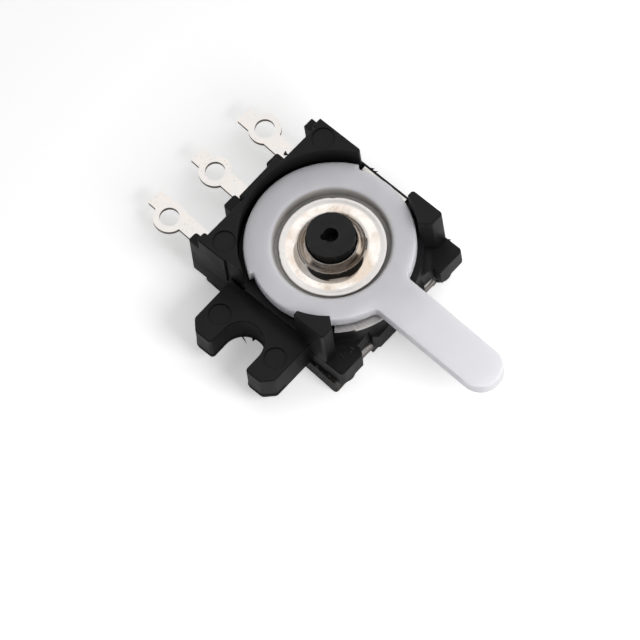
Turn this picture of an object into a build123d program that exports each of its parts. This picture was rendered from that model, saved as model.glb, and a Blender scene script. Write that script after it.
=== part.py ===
"""Spring-return lever switch with three solder lugs, in millimetres.

The lever is a flat nylon ring with one arm. It turns about a fixed post on a metal
slide plate, held down by a drawn nickel cup, and drives a contact carrier inside the
moulded housing. A torsion spring brings it back to the middle.

Frame: the pivot axis is Z, the underside of the contact board is Z = 0, the arm points
along +X, the solder lugs along -X and the mounting fork along -Y.
"""
from build123d import *
from math import asin, cos, degrees, hypot, radians, sin, sqrt, tan
import os

os.makedirs("parts", exist_ok=True)

# ---- driving sizes ---------------------------------------------------------------
# contact board
board_thickness = 1.6
board_back_x = -7.65
board_front_x = 6.13       # at the -Y corner; the front edge runs back a little toward +Y
board_front_lean = 0.4
board_side_y = 6.72        # half width, taken through the pivot
board_skew = -2.8          # the long edges and the terminals run slightly askew
board_corner = 0.25
board_notch_x = 5.6        # behind the turned-down terminal ends

# stamped terminals on the board
strip_thickness = 0.35
strip_width = 1.35
lug_pitch = 5.0            # eye to eye
lug_shift = -0.48          # the row of eyes to the pivot, along the row
lug_reach_left = -12.02    # the three lugs are bent a little unevenly
lug_reach_common = -12.28
lug_reach_right = -12.13
neck_pitch = 4.64          # head and neck run closer together than the eyes
neck_shift = -0.39
lug_hole_radius = 0.76
lug_eye_radius = 1.25
lug_head_length = 2.02     # from the hole's centre to the end of the square head
lug_corner = 0.12
strip_jog_x = -6.4         # where an outer strip leaves its neck's line
strip_run_y = 3.45         # the outer strips' straight run, either side of the post
strip_run_x = -2.6
tab_width = 1.15           # turned-down end of an outer strip
fold_x = 6.25              # outer face of the turned-down end
fold_drop = 0.2            # how far it reaches below the board's top
fold_radius = 0.3
pad_start_x = 3.0
pad_end_x = 4.7
pad_inner_y = 1.35
common_pad_radius = 3.95
common_pad_half_angle = 38

# rivets that hold the terminals
rivet_radius = 0.4
rivet_head_radius = 0.68
rivet_head_height = 0.25
rivet_head_round = 0.2
outer_rivet_x = -0.4
common_rivet_x = -4.35

# housing
housing_front_x = 6.7
housing_back_x = -7.02
back_lean = 1.2            # the back wall runs back a little toward -Y
bridge_back_x = -7.46      # thicker wall between the two guide ribs
bridge_start_y = -1.95
bridge_end_y = 2.2
housing_half_width = 6.68
left_side_lean = 0.5       # the +Y side runs out a little toward the front
chamber_radius = 5.6
chamber_height = 2.6       # from the board up to the deck's underside
deck_height = 4.95         # seat of the slide plate
platform_height = 3.4      # low corners beside the arm
rim_stand = 1.2            # flat tops of the four blocks over the lever ring
well_radius = 7.08         # round wall behind the lever ring
block_bore_radius = 6.55   # the two front blocks follow the ring closer
rear_block_end_x = -3.16   # on the centre line
rear_end_lean = 1.4
front_block_start_x = 2.13
front_block_end_x = 5.15
front_block_corner_y = 5.6
front_block_cut_x = 4.32
notch_inner_y = 2.87
notch_outer_left_y = 4.3
notch_outer_right_y = 4.12
notch_depth = 0.75
base_corner = 0.35         # roundings of the upright corners
platform_edge_round = 0.15
platform_cove = 0.6        # hollow blend from the deck's wall onto the low corners
notch_chamfer = 0.35
block_corner = 0.25
rib_corner = 0.2
rib_root = 0.1             # into the back wall
top_edge_round = 0.12
guide_rib_reach = -8.27    # on the centre line; the ribs' ends lean like the board
rib_lean = 1.7
guide_rib_height = 6.3
guide_rib_inner_y = 1.66
guide_rib_width = 1.25
corner_rib_width = 0.85
corner_post_reach = -7.29  # upper part of a corner rib, as high as the rim
side_recess = 0.16         # shallow panel at the end of the rear block's side
side_recess_start_x = -4.75
peg_radius = 0.6
peg_head_radius = 0.95
peg_head_height = 0.4
rear_peg_x = -6.1
rear_peg_y = 2.35
front_peg_x = 5.3
front_peg_y = 5.35

# mounting fork
fork_reach_y = -11.3
fork_height = 4.3
fork_half_width = 4.03
fork_slot_radius = 1.72
fork_middle_x = -0.55
fork_slot_centre_y = -9.8
fork_corner = 0.8
fork_corner_round = 0.45
fork_mouth_round = 0.3
fork_edge_round = 0.1
fork_root_fillet = 0.8     # from the housing's side onto the fork
ejector_mark_radius = 0.85
ejector_mark_depth = 0.1
fork_mark_x = 2.78         # from the fork's middle
fork_mark_y = -9.07
rim_mark_x = -5.82
rim_mark_y = 5.52
rim_mark_shift = 0.08
side_lip_width = 0.13      # thin wall outside the slide plate's tab
side_lip_depth = 0.6
chamber_wall = 0.6

# stop for the return spring's legs, hung from the deck
stop_inner_radius = 4.5
stop_half_width = 2.55
stop_height = 0.75

# slide plate
plate_thickness = 0.3
plate_radius = 6.2
plate_lip_radius = 6.78    # the part that shows beside the arm
plate_lip_start = -47.2
plate_lip_end = -5
plate_tab_y = 6.64
plate_tab_start_x = -2.8
plate_tab_end_x = 1.4

# lever
ring_radius = 6.3
ring_wide_radius = 6.65
ring_wide_angle = 116      # the wide sector lies opposite the arm
ring_thickness = 1.25
ring_rim_gap = 0.34        # round the cup's rim
ring_edge_round = 0.4 
lever_lean = -1.4          # the arm's rest direction
arm_width = 3.42
arm_tip_x = 16.96
arm_root_fillet = 0.6
lever_top_round = 0.1
lever_foot_round = 0.22
shelf_drop = 0.9           # shelf for the cup's rim, below the ring's top
sleeve_wall = 0.6
sleeve_bottom = 3.5
skirt_half_angle = 90
skirt_top = 4.15
dog_angle = 55
dog_width = 1.2

# pivot post
post_radius = 1.88
post_stand = 0.2           # over the housing's blocks
post_flat_count = 18
post_flat_height = 1.5
post_foot_radius = 2.15
post_foot_height = 0.7
post_shank_radius = 1.2
post_head_radius = 1.9
post_head_height = 0.5
post_hole_radius = 0.58
post_hole_lobe_radius = 0.28   # the hole is moulded with a side lobe
post_hole_lobe_x = -0.28
post_hole_lobe_y = -0.44
post_hole_depth = 1.3

# retaining cup
cup_sheet = 0.2
cup_rim_radius = 4.08
cup_rim_width = 0.55
cup_trough_depth = 0.6 
cup_hub_drop = 0.75        # hub's edge below the post's top
cup_hub_round = 0.85
cup_dish_round = 1.2
cup_side_gap = 0.07        # dish inside the lever's shelf

# contact carrier and wiper
carrier_radius = 4.9
carrier_thickness = 0.65
carrier_height = 2.75
carrier_hub_radius = 2.4
ear_inner_radius = 3.75
ear_outer_radius = 4.4
ear_width = 0.5
ear_height = 0.6
ear_half_angle = 60
wiper_thickness = 0.12
finger_width = 0.55
wiper_ring_radius = 3.4
common_finger_x = 3.55
outer_finger_x = 4.1
finger_lift = 0.22
finger_root = 0.2          # from the hub to the finger's start
finger_bend = 0.45         # from the hub to the finger's first bend
wiper_peg_y = 2.92
wiper_peg_radius = 0.28
wiper_peg_height = 0.3

# return spring
spring_wire = 0.3
spring_radius = 2.75
spring_turns = 2.5
spring_pitch = 0.36
spring_leg_x = -4.6
spring_leg_start_x = -0.6
spring_leg_bend_x = -1.8
spring_leg_bend_radius = 0.3

# clearances
seat_gap = 0.05            # between faces that slide or drop on each other
bore_gap = 0.05            # radial running clearance
slot_gap = 0.12            # round a strip in its housing slot
lever_lift = 0.1           # lever ring over the slide plate
contact_gap = 0.03         # wiper over the strips
cut_over = 1               # how far a cut runs past the outside

# ---- worked-out heights ----------------------------------------------------------
strip_top = board_thickness + strip_thickness
deck_bottom = board_thickness + chamber_height
plate_top = deck_height + plate_thickness
ring_bottom = plate_top + lever_lift
ring_top = ring_bottom + ring_thickness
rim_height = ring_top + rim_stand
post_top = rim_height + post_stand
shelf_top = ring_top - shelf_drop
ring_hole_radius = cup_rim_radius + ring_rim_gap
shelf_inner_radius = cup_rim_radius - cup_rim_width + cup_side_gap
sleeve_radius = shelf_inner_radius + sleeve_wall
cup_rim_top = shelf_top + seat_gap + cup_sheet
carrier_bottom = carrier_height
carrier_top = carrier_bottom + carrier_thickness
post_shoulder = board_thickness + post_foot_height
wiper_top = carrier_bottom
wiper_bottom = wiper_top - wiper_thickness
skew_sine = sin(radians(board_skew))
skew_cosine = cos(radians(board_skew))
lug_reaches = {1: lug_reach_left, 0: lug_reach_common, -1: lug_reach_right}


def neck_y(side, x):
    """Y of a terminal's neck at x; side is +1 left, 0 common, -1 right."""
    return (side * neck_pitch + neck_shift + x * skew_sine) / skew_cosine


def lug_centre(side):
    """Centre of the hole in a lug's eye."""
    along, across = lug_reaches[side], side * lug_pitch + lug_shift
    return along * skew_cosine - across * skew_sine, along * skew_sine + across * skew_cosine


def save(piece, label):
    """Name a finished piece and write it to its own STEP file."""
    piece.label = label
    export_step(piece, f"parts/{label}.step")


def sector(radius, middle_angle, half_angle, mode=Mode.ADD):
    """Slice of a circle about the pivot, in the sketch that is open."""
    with BuildSketch() as pie:
        with BuildLine():
            arc = CenterArc((0, 0), radius, middle_angle - half_angle, 2 * half_angle)
            Line(arc @ 1, (0, 0))
            Line((0, 0), arc @ 0)
        make_face()
    add(pie.sketch_local, mode=mode)


def band(start_x, end_x, start_y, end_y, mode=Mode.ADD):
    """Rectangle between two X and two Y values, in the sketch that is open."""
    with Locations(((start_x + end_x) / 2, (start_y + end_y) / 2)):
        Rectangle(end_x - start_x, end_y - start_y, mode=mode)


# ---- contact board ---------------------------------------------------------------
peg_places = [
    (rear_peg_x, rear_peg_y),
    (rear_peg_x, -rear_peg_y),
    (front_peg_x, front_peg_y),
    (front_peg_x, -front_peg_y),
]
rivet_places = [
    (outer_rivet_x, strip_run_y),
    (common_rivet_x, neck_y(0, common_rivet_x)),
    (outer_rivet_x, -strip_run_y),
]
board_slope = skew_sine / skew_cosine

with BuildPart() as contact_board:
    with BuildSketch() as board_outline:
        with BuildLine():
            Polyline(
                (board_back_x, board_back_x * board_slope - board_side_y),
                (board_front_x, board_front_x * board_slope - board_side_y),
                (board_front_x - board_front_lean, board_front_x * board_slope + board_side_y),
                (board_back_x, board_back_x * board_slope + board_side_y),
                close=True,
            )
        make_face()
        fillet(board_outline.vertices(), board_corner)
        # the front edge steps back behind the turned-down terminal ends
        for side in (1, -1):
            with Locations((board_notch_x, side * strip_run_y)):
                Rectangle(
                    1, tab_width + 2 * slot_gap, align=(Align.MIN, Align.CENTER), mode=Mode.SUBTRACT
                )
        Circle(post_shank_radius + seat_gap, mode=Mode.SUBTRACT)
        with Locations(*peg_places):
            Circle(peg_radius + seat_gap, mode=Mode.SUBTRACT)
        with Locations(*rivet_places):
            Circle(rivet_radius, mode=Mode.SUBTRACT)
    extrude(amount=board_thickness)
    # countersinks in the underside keep every head flush
    with BuildSketch():
        Circle(post_head_radius + seat_gap)
    extrude(amount=post_head_height, mode=Mode.SUBTRACT)
    with BuildSketch():
        with Locations(*peg_places):
            Circle(peg_head_radius + seat_gap)
    extrude(amount=peg_head_height, mode=Mode.SUBTRACT)
    with BuildSketch():
        with Locations(*rivet_places):
            Circle(rivet_head_radius + seat_gap)
    extrude(amount=strip_thickness + seat_gap, mode=Mode.SUBTRACT)
save(contact_board.part, "contact_board")

# ---- terminals: lug, strip and contact pad stamped in one ------------------------
terminal_sides = {"terminal_left": 1, "terminal_common": 0, "terminal_right": -1}

for label, side in terminal_sides.items():
    eye_x, eye_y = lug_centre(side)
    head_x = eye_x - lug_head_length * skew_cosine
    with BuildPart() as terminal:
        with BuildSketch(Plane.XY.offset(board_thickness)):
            # square head and neck in one straight run, with the eye across it
            with BuildSketch(mode=Mode.PRIVATE) as head:
                with Locations((head_x, neck_y(side, head_x))):
                    Rectangle(
                        lug_head_length, strip_width, rotation=board_skew, align=(Align.MIN, Align.CENTER)
                    )
                fillet(head.vertices().sort_by(Axis.X)[:2], lug_corner)
            add(head.sketch)
            with Locations((eye_x, eye_y)):
                Circle(lug_eye_radius)
            # strip from the eye to the contact
            with BuildLine():
                if side:
                    Polyline(
                        (eye_x, neck_y(side, eye_x)),
                        (strip_jog_x, neck_y(side, strip_jog_x)),
                        (strip_run_x, side * strip_run_y),
                        (pad_end_x, side * strip_run_y),
                    )
                else:
                    Line((eye_x, neck_y(0, eye_x)), (-common_finger_x, neck_y(0, -common_finger_x)))
            trace(line_width=strip_width)
            if side:
                inner_y, outer_y = sorted((side * pad_inner_y, side * (strip_run_y + strip_width / 2)))
                band(pad_start_x, pad_end_x, inner_y, outer_y)
                with Locations((pad_start_x, side * strip_run_y)):
                    Rectangle(
                        fold_x - fold_radius - pad_start_x, tab_width, align=(Align.MIN, Align.CENTER)
                    )
            else:
                sector(common_pad_radius, 180, common_pad_half_angle)
                Circle(post_foot_radius + slot_gap, mode=Mode.SUBTRACT)
            with Locations((eye_x, eye_y)):
                Circle(lug_hole_radius, mode=Mode.SUBTRACT)
            with Locations(rivet_places[1 - side]):
                Circle(rivet_radius, mode=Mode.SUBTRACT)
        extrude(amount=strip_thickness)
        if side:
            # the end turns down in front of the board's edge
            with BuildSketch(Plane.XZ.offset(-side * strip_run_y)) as fold:
                with Locations((fold_x, strip_top)):
                    Rectangle(strip_thickness, strip_thickness + fold_drop, align=(Align.MAX, Align.MAX))
                fillet(fold.vertices().sort_by(Axis.X)[2:].sort_by(Axis.Y)[-1], fold_radius)
            extrude(amount=tab_width / 2, both=True)
    save(terminal.part, label)

for label, place in zip(("left_rivet", "common_rivet", "right_rivet"), rivet_places):
    with BuildPart() as rivet:
        with BuildSketch(Plane.XY.offset(seat_gap)):
            with Locations(place):
                Circle(rivet_head_radius)
        extrude(amount=strip_thickness - seat_gap)
        with BuildSketch(Plane.XY.offset(seat_gap)):
            with Locations(place):
                Circle(rivet_radius)
        extrude(amount=strip_top)
        with BuildSketch(Plane.XY.offset(strip_top)):
            with Locations(place):
                Circle(rivet_head_radius)
        extrude(amount=rivet_head_height)
        fillet(rivet.edges().filter_by(GeomType.CIRCLE).sort_by(Axis.Z)[-1], rivet_head_round)
    save(rivet.part, label)

# ---- housing ---------------------------------------------------------------------
rib_places = [
    (guide_rib_inner_y, guide_rib_inner_y + guide_rib_width),
    (-guide_rib_inner_y - guide_rib_width, -guide_rib_inner_y),
    (housing_half_width - corner_rib_width, housing_half_width),
    (-housing_half_width, corner_rib_width - housing_half_width),
]
fork_left_x = fork_middle_x - fork_half_width
fork_right_x = fork_middle_x + fork_half_width
notch_outer = {1: notch_outer_left_y, -1: notch_outer_right_y}
back_left_x = housing_back_x + housing_half_width * tan(radians(back_lean))
back_right_x = housing_back_x - housing_half_width * tan(radians(back_lean))
block_arc_y = sqrt(block_bore_radius**2 - front_block_cut_x**2)


def side_y(side, x):
    """Y of the housing's side wall at x; side is +1 left, -1 right."""
    return side * housing_half_width + (side + 1) / 2 * (x - back_left_x) * tan(radians(left_side_lean))


def back_part(front_x, front_lean, front_round):
    """Outline from the leaning back wall forward to front_x, in the sketch that is open."""
    front_step = housing_half_width * tan(radians(front_lean))
    with BuildSketch() as back:
        with BuildLine():
            Polyline(
                (back_left_x, housing_half_width),
                (back_right_x, -housing_half_width),
                (front_x - front_step, -housing_half_width),
                (front_x + front_step, side_y(1, front_x + front_step)),
                close=True,
            )
        make_face()
        fillet(back.vertices().filter_by(lambda v: v.X > housing_back_x / 2), front_round)
    add(back.sketch_local)


def ribs(places, reach):
    """Ribs behind the back wall at pairs of Y values, in the sketch that is open."""
    with BuildSketch() as upright:
        for start_y, end_y in places:
            root_x = housing_back_x + rib_root + start_y * tan(radians(back_lean))
            with BuildLine():
                Polyline(
                    (root_x, start_y),
                    (reach + start_y * tan(radians(rib_lean)), start_y),
                    (reach + end_y * tan(radians(rib_lean)), end_y),
                    (root_x, end_y),
                    close=True,
                )
            make_face()
        fillet(upright.vertices().filter_by(lambda v: v.X < reach + rib_root), rib_corner)
    add(upright.sketch_local)


def front_blocks():
    """The two blocks beside the arm, in the sketch that is open."""
    with BuildSketch() as blocks:
        for side in (1, -1):
            with BuildLine():
                Polyline(
                    (front_block_start_x, side_y(side, front_block_start_x)),
                    (front_block_end_x, side_y(side, front_block_end_x)),
                    (front_block_end_x, side * front_block_corner_y),
                    (front_block_cut_x, side * block_arc_y),
                    (front_block_start_x, side * block_arc_y),
                    close=True,
                )
            make_face()
        Circle(block_bore_radius, mode=Mode.SUBTRACT)
        outside_bore = block_bore_radius + block_corner / 2
        fillet(blocks.vertices().filter_by(lambda v: hypot(v.X, v.Y) > outside_bore), block_corner)
    add(blocks.sketch_local)


with BuildPart() as housing:
    # low base with a notch either side of the arm
    with BuildSketch(Plane.XY.offset(board_thickness)) as base_outline:
        back_part(housing_front_x, 0, base_corner)
        for side in (1, -1):
            with Locations((housing_front_x, side * (notch_inner_y + notch_outer[side]) / 2)):
                Rectangle(2 * notch_depth, notch_outer[side] - notch_inner_y, mode=Mode.SUBTRACT)
        notch_corners = base_outline.vertices().filter_by_position(
            Axis.Y, -notch_outer_right_y, notch_outer_left_y
        )
        chamfer(notch_corners.group_by(Axis.X)[-1], notch_chamfer)
    extrude(amount=platform_height - board_thickness)
    front_edges = housing.edges().group_by(Axis.Z)[-1].filter_by(lambda e: e.center().X > front_block_end_x)
    left_edges = front_edges.filter_by(lambda e: e.center().Y > notch_outer_left_y + seat_gap)
    right_edges = front_edges.filter_by(lambda e: e.center().Y < -notch_outer_right_y - seat_gap)
    fillet(left_edges + right_edges, platform_edge_round)
    # main body up to the slide plate's seat
    with BuildSketch(Plane.XY.offset(platform_height)):
        back_part(front_block_start_x + block_corner, 0, block_corner)
        Circle(housing_front_x)
        front_blocks()
    extrude(amount=deck_height - platform_height)
    # hollow blend from the deck's wall onto the low corners
    with BuildSketch(Plane.XZ):
        with Locations((housing_front_x, platform_height)):
            Rectangle(platform_cove, platform_cove, align=(Align.MIN, Align.MIN))
        with Locations((housing_front_x + platform_cove, platform_height + platform_cove)):
            Circle(platform_cove, mode=Mode.SUBTRACT)
    revolve(axis=Axis.Z)
    with BuildSketch(Plane.XY.offset(platform_height)):
        Circle(2 * housing_front_x)
        add(base_outline.sketch_local, mode=Mode.SUBTRACT)
    extrude(amount=platform_cove, mode=Mode.SUBTRACT)
    # ribs that flank the lugs
    with BuildSketch(Plane.XY.offset(board_thickness)):
        ribs(rib_places, guide_rib_reach)
    extrude(amount=guide_rib_height - board_thickness)
    # raised rim at the back and the two blocks beside the arm
    with BuildSketch(Plane.XY.offset(deck_height)):
        back_part(rear_block_end_x, rear_end_lean, block_corner)
        ribs(rib_places[2:], corner_post_reach)
        band(bridge_back_x, housing_back_x / 2, bridge_start_y, bridge_end_y)
        Circle(well_radius, mode=Mode.SUBTRACT)
        front_blocks()
    extrude(amount=rim_height - deck_height)
    with BuildSketch(Plane.XY.offset(board_thickness)):
        band(bridge_back_x, housing_back_x + block_corner, bridge_start_y, bridge_end_y)
        ribs(rib_places[2:], corner_post_reach)
    extrude(amount=deck_height - board_thickness)
    rim_edges = housing.edges().group_by(Axis.Z)[-1]
    bore_edges = rim_edges.filter_by(lambda e: e.geom_type == GeomType.CIRCLE and e.radius > base_corner)
    fillet([edge for edge in rim_edges if edge not in bore_edges], top_edge_round)
    # ledge above the fork, flush with the slide plate
    with BuildSketch(Plane.XY.offset(deck_height)):
        band(
            rear_block_end_x - 2 * block_corner,
            front_block_start_x + block_corner,
            -housing_half_width,
            -plate_radius / 2,
        )
        Circle(plate_radius + seat_gap, mode=Mode.SUBTRACT)
    extrude(amount=plate_thickness)
    # thin wall outside the slide plate's tab
    with BuildSketch(Plane.XY.offset(plate_top - side_lip_depth)):
        band(
            rear_block_end_x - block_corner,
            front_block_start_x + 2 * block_corner,
            plate_tab_y + seat_gap,
            plate_tab_y + seat_gap + side_lip_width,
        )
    extrude(amount=side_lip_depth)
    # shallow panel at the end of the rear block's side
    with BuildSketch(Plane.XY.offset(fork_height)):
        band(
            side_recess_start_x,
            rear_block_end_x + block_corner,
            -housing_half_width,
            side_recess - housing_half_width,
        )
    extrude(amount=rim_height - fork_height, mode=Mode.SUBTRACT)
    # mounting fork
    with BuildSketch(Plane.XY.offset(board_thickness)) as fork_outline:
        band(fork_left_x, fork_right_x, fork_reach_y, -chamber_radius - chamber_wall)
        chamfer(fork_outline.vertices().group_by(Axis.Y)[0], fork_corner)
        outer_corners = fork_outline.vertices().filter_by(lambda v: v.Y < fork_slot_centre_y)
        fillet(outer_corners, fork_corner_round)
        with Locations((fork_middle_x, fork_slot_centre_y)):
            Circle(fork_slot_radius, mode=Mode.SUBTRACT)
            Rectangle(
                2 * fork_slot_radius,
                fork_slot_centre_y - fork_reach_y + cut_over,
                align=(Align.CENTER, Align.MAX),
                mode=Mode.SUBTRACT,
            )
        mouth = fork_outline.vertices().group_by(Axis.Y)[0].sort_by(lambda v: abs(v.X - fork_middle_x))
        fillet(mouth[:2], fork_mouth_round)
    extrude(amount=fork_height - board_thickness)
    fork_edges = housing.edges().filter_by_position(Axis.Z, fork_height, fork_height)
    clear_of_wall = -housing_half_width - fork_corner
    fillet(fork_edges.filter_by(lambda e: e.center().Y < clear_of_wall), fork_edge_round)
    # hollow blend where the side wall meets the fork
    with BuildSketch(Plane.YZ.offset(fork_left_x + fork_edge_round)):
        with Locations((-housing_half_width, fork_height)):
            Rectangle(fork_root_fillet, fork_root_fillet, align=(Align.MAX, Align.MIN))
        with Locations((-housing_half_width - fork_root_fillet, fork_height + fork_root_fillet)):
            Circle(fork_root_fillet, mode=Mode.SUBTRACT)
    extrude(amount=2 * (fork_half_width - fork_edge_round))
    # contact chamber, open below, and the lever's bore in the deck
    with BuildSketch(Plane.XY.offset(board_thickness)):
        Circle(chamber_radius)
    extrude(amount=chamber_height, mode=Mode.SUBTRACT)
    with BuildSketch(Plane.XY.offset(deck_bottom)):
        Circle(sleeve_radius + bore_gap)
    extrude(amount=deck_height - deck_bottom, mode=Mode.SUBTRACT)
    # stop that the return spring's legs rest on
    with BuildSketch(Plane.XY.offset(deck_bottom)):
        sector(chamber_radius + seat_gap, 180, degrees(asin(stop_half_width / stop_inner_radius)))
        for side in (1, -1):
            edges = sorted((side * stop_half_width, side * chamber_radius))
            band(-chamber_radius - cut_over, 0, *edges, mode=Mode.SUBTRACT)
        Circle(stop_inner_radius, mode=Mode.SUBTRACT)
    extrude(amount=-stop_height)
    # slots for the terminals in the underside
    with BuildSketch(Plane.XY.offset(board_thickness)):
        for side in (1, 0, -1):
            eye_x = lug_centre(side)[0]
            inner_end_x = strip_jog_x if side else -common_finger_x
            with BuildLine():
                Line((eye_x, neck_y(side, eye_x)), (inner_end_x, neck_y(side, inner_end_x)))
                if side:
                    Line(
                        (strip_jog_x, neck_y(side, strip_jog_x)),
                        (strip_run_x, side * strip_run_y),
                    )
                    Line((strip_run_x, side * strip_run_y), (pad_end_x, side * strip_run_y))
            trace(line_width=strip_width + 2 * slot_gap)
            with Locations((strip_jog_x, neck_y(side, strip_jog_x))):
                Circle(strip_width / 2 + slot_gap)
            if side:
                with Locations((pad_end_x, side * strip_run_y)):
                    Rectangle(
                        housing_front_x, tab_width + 2 * slot_gap, align=(Align.MIN, Align.CENTER)
                    )
    extrude(amount=strip_thickness + seat_gap, mode=Mode.SUBTRACT)
    # marks left by the mould's ejector pins
    with BuildSketch(Plane.XY.offset(fork_height)):
        with Locations(*[(fork_middle_x + side * fork_mark_x, fork_mark_y) for side in (1, -1)]):
            Circle(ejector_mark_radius)
    extrude(amount=-ejector_mark_depth, mode=Mode.SUBTRACT)
    with BuildSketch(Plane.XY.offset(rim_height)):
        with Locations(*[(rim_mark_x, side * rim_mark_y + rim_mark_shift) for side in (1, -1)]):
            Circle(ejector_mark_radius)
    extrude(amount=-ejector_mark_depth, mode=Mode.SUBTRACT)
    # staked pegs through the board
    with BuildSketch(Plane.XY.offset(seat_gap)):
        with Locations(*peg_places):
            Circle(peg_radius)
    extrude(amount=board_thickness)
    with BuildSketch(Plane.XY.offset(seat_gap)):
        with Locations(*peg_places):
            Circle(peg_head_radius)
    extrude(amount=peg_head_height - 2 * seat_gap)
save(housing.part, "housing")

# ---- slide plate -----------------------------------------------------------------
with BuildPart() as slide_plate:
    with BuildSketch(Plane.XY.offset(deck_height)):
        Circle(plate_radius)
        lip_middle, lip_half = (plate_lip_end + plate_lip_start) / 2, (plate_lip_end - plate_lip_start) / 2
        sector(plate_lip_radius, lip_middle, lip_half)
        band(plate_tab_start_x, plate_tab_end_x, 0, plate_tab_y)
        Circle(sleeve_radius + 2 * bore_gap, mode=Mode.SUBTRACT)
    extrude(amount=plate_thickness)
save(slide_plate.part, "slide_plate")

# ---- lever -----------------------------------------------------------------------
with BuildPart() as lever:
    with BuildSketch(Plane.XY.offset(ring_bottom)) as lever_outline:
        Circle(ring_radius)
        with Locations(Location((0, 0), lever_lean)):
            Rectangle(arm_tip_x - arm_width / 2, arm_width, align=(Align.MIN, Align.CENTER))
            with Locations((arm_tip_x - arm_width / 2, 0)):
                Circle(arm_width / 2)
        arm_root = lever_outline.vertices().filter_by_position(Axis.X, ring_radius / 2, ring_radius)
        fillet(arm_root, arm_root_fillet)
        sector(ring_wide_radius, 180 + lever_lean, 180 - ring_wide_angle)
    extrude(amount=ring_thickness)
    fillet(lever.edges().group_by(Axis.Z)[-1], lever_top_round)
    fillet(lever.edges().group_by(Axis.Z)[0], lever_foot_round)
    # counterbore for the cup's rim above a narrow shelf
    with BuildSketch(Plane.XY.offset(ring_top)):
        Circle(ring_hole_radius)
    extrude(amount=-shelf_drop, mode=Mode.SUBTRACT)
    top_circles = lever.edges().group_by(Axis.Z)[-1].filter_by(GeomType.CIRCLE)
    fillet(top_circles.filter_by(lambda e: e.radius < ring_hole_radius + seat_gap), ring_edge_round)
    # sleeve that turns in the deck
    with BuildSketch(Plane.XY.offset(skirt_top)):
        Circle(sleeve_radius)
    extrude(amount=shelf_top - skirt_top)
    # skirt over the front half, notched for the carrier's dogs
    with BuildSketch(Plane.XY.offset(sleeve_bottom)):
        sector(sleeve_radius, 0, skirt_half_angle)
        for side in (1, -1):
            with Locations(Location((0, 0), side * dog_angle)):
                Rectangle(
                    2 * sleeve_radius,
                    dog_width + 2 * seat_gap,
                    align=(Align.MIN, Align.CENTER),
                    mode=Mode.SUBTRACT,
                )
    extrude(amount=skirt_top - sleeve_bottom)
    with BuildSketch(Plane.XY.offset(sleeve_bottom)):
        Circle(shelf_inner_radius)
    extrude(amount=ring_top - sleeve_bottom, mode=Mode.SUBTRACT)
save(lever.part, "lever")

# ---- pivot post ------------------------------------------------------------------
with BuildPart() as pivot_post:
    # staked head, flush with the board's underside
    with BuildSketch():
        Circle(post_head_radius)
    extrude(amount=post_head_height - seat_gap)
    with BuildSketch():
        Circle(post_shank_radius)
    extrude(amount=board_thickness)
    with BuildSketch(Plane.XY.offset(board_thickness)):
        Circle(post_foot_radius)
    extrude(amount=post_foot_height)
    with BuildSketch(Plane.XY.offset(post_shoulder)):
        Circle(post_radius)
    extrude(amount=post_top - post_flat_height - post_shoulder)
    with BuildSketch(Plane.XY.offset(post_top - post_flat_height)):
        RegularPolygon(post_radius, post_flat_count)
    extrude(amount=post_flat_height)
    with BuildSketch(Plane.XY.offset(post_top)):
        Circle(post_hole_radius)
        with Locations((post_hole_lobe_x, post_hole_lobe_y)):
            Circle(post_hole_lobe_radius)
    extrude(amount=-post_hole_depth, mode=Mode.SUBTRACT)
save(pivot_post.part, "pivot_post")

# ---- retaining cup: drawn hub, dish and flat rim ---------------------------------
cup_half = cup_sheet / 2
cup_rim_line = cup_rim_top - cup_half
cup_trough_line = cup_rim_line - cup_trough_depth
cup_bore = post_radius + seat_gap

with BuildPart() as retaining_cup:
    with BuildSketch(Plane.XZ):
        with BuildLine():
            FilletPolyline(
                (cup_bore + cup_half, post_top - cup_hub_drop),
                (cup_bore + cup_half, cup_trough_line),
                (cup_rim_radius - cup_rim_width, cup_rim_line),
                (cup_rim_radius, cup_rim_line),
                radius=[cup_hub_round, cup_dish_round],
            )
        trace(line_width=cup_sheet)
    revolve(axis=Axis.Z)
save(retaining_cup.part, "retaining_cup")

# ---- contact carrier -------------------------------------------------------------
ear_inner_y = stop_half_width - ear_width

with BuildPart() as contact_carrier:
    with BuildSketch(Plane.XY.offset(carrier_bottom)):
        Circle(carrier_radius)
    extrude(amount=carrier_thickness)
    with BuildSketch(Plane.XY.offset(post_shoulder + seat_gap)):
        Circle(carrier_hub_radius)
    extrude(amount=carrier_top - post_shoulder - seat_gap)
    # dogs that turn with the lever's skirt
    with BuildSketch(Plane.XY.offset(carrier_top)):
        for side in (1, -1):
            with Locations(Location((0, 0), side * dog_angle)):
                Rectangle(sleeve_radius - seat_gap, dog_width, align=(Align.MIN, Align.CENTER))
        Circle(shelf_inner_radius, mode=Mode.SUBTRACT)
    extrude(amount=skirt_top - seat_gap - carrier_top)
    # ears between the spring's legs
    with BuildSketch(Plane.XY.offset(carrier_top)):
        sector(ear_outer_radius, 180, ear_half_angle)
        band(-carrier_radius, 0, -ear_inner_y, ear_inner_y, mode=Mode.SUBTRACT)
        band(-carrier_radius, 0, stop_half_width, carrier_radius, mode=Mode.SUBTRACT)
        band(-carrier_radius, 0, -carrier_radius, -stop_half_width, mode=Mode.SUBTRACT)
        Circle(ear_inner_radius, mode=Mode.SUBTRACT)
    extrude(amount=ear_height)
    # pegs that hold the wiper
    with BuildSketch(Plane.XY.offset(carrier_bottom)):
        with GridLocations(0, 2 * wiper_peg_y, 1, 2):
            Circle(wiper_peg_radius)
    extrude(amount=-wiper_peg_height)
    with BuildSketch(Plane.XY.offset(carrier_top)):
        Circle(post_radius + bore_gap)
    extrude(amount=-carrier_top, mode=Mode.SUBTRACT)
save(contact_carrier.part, "contact_carrier")

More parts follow.
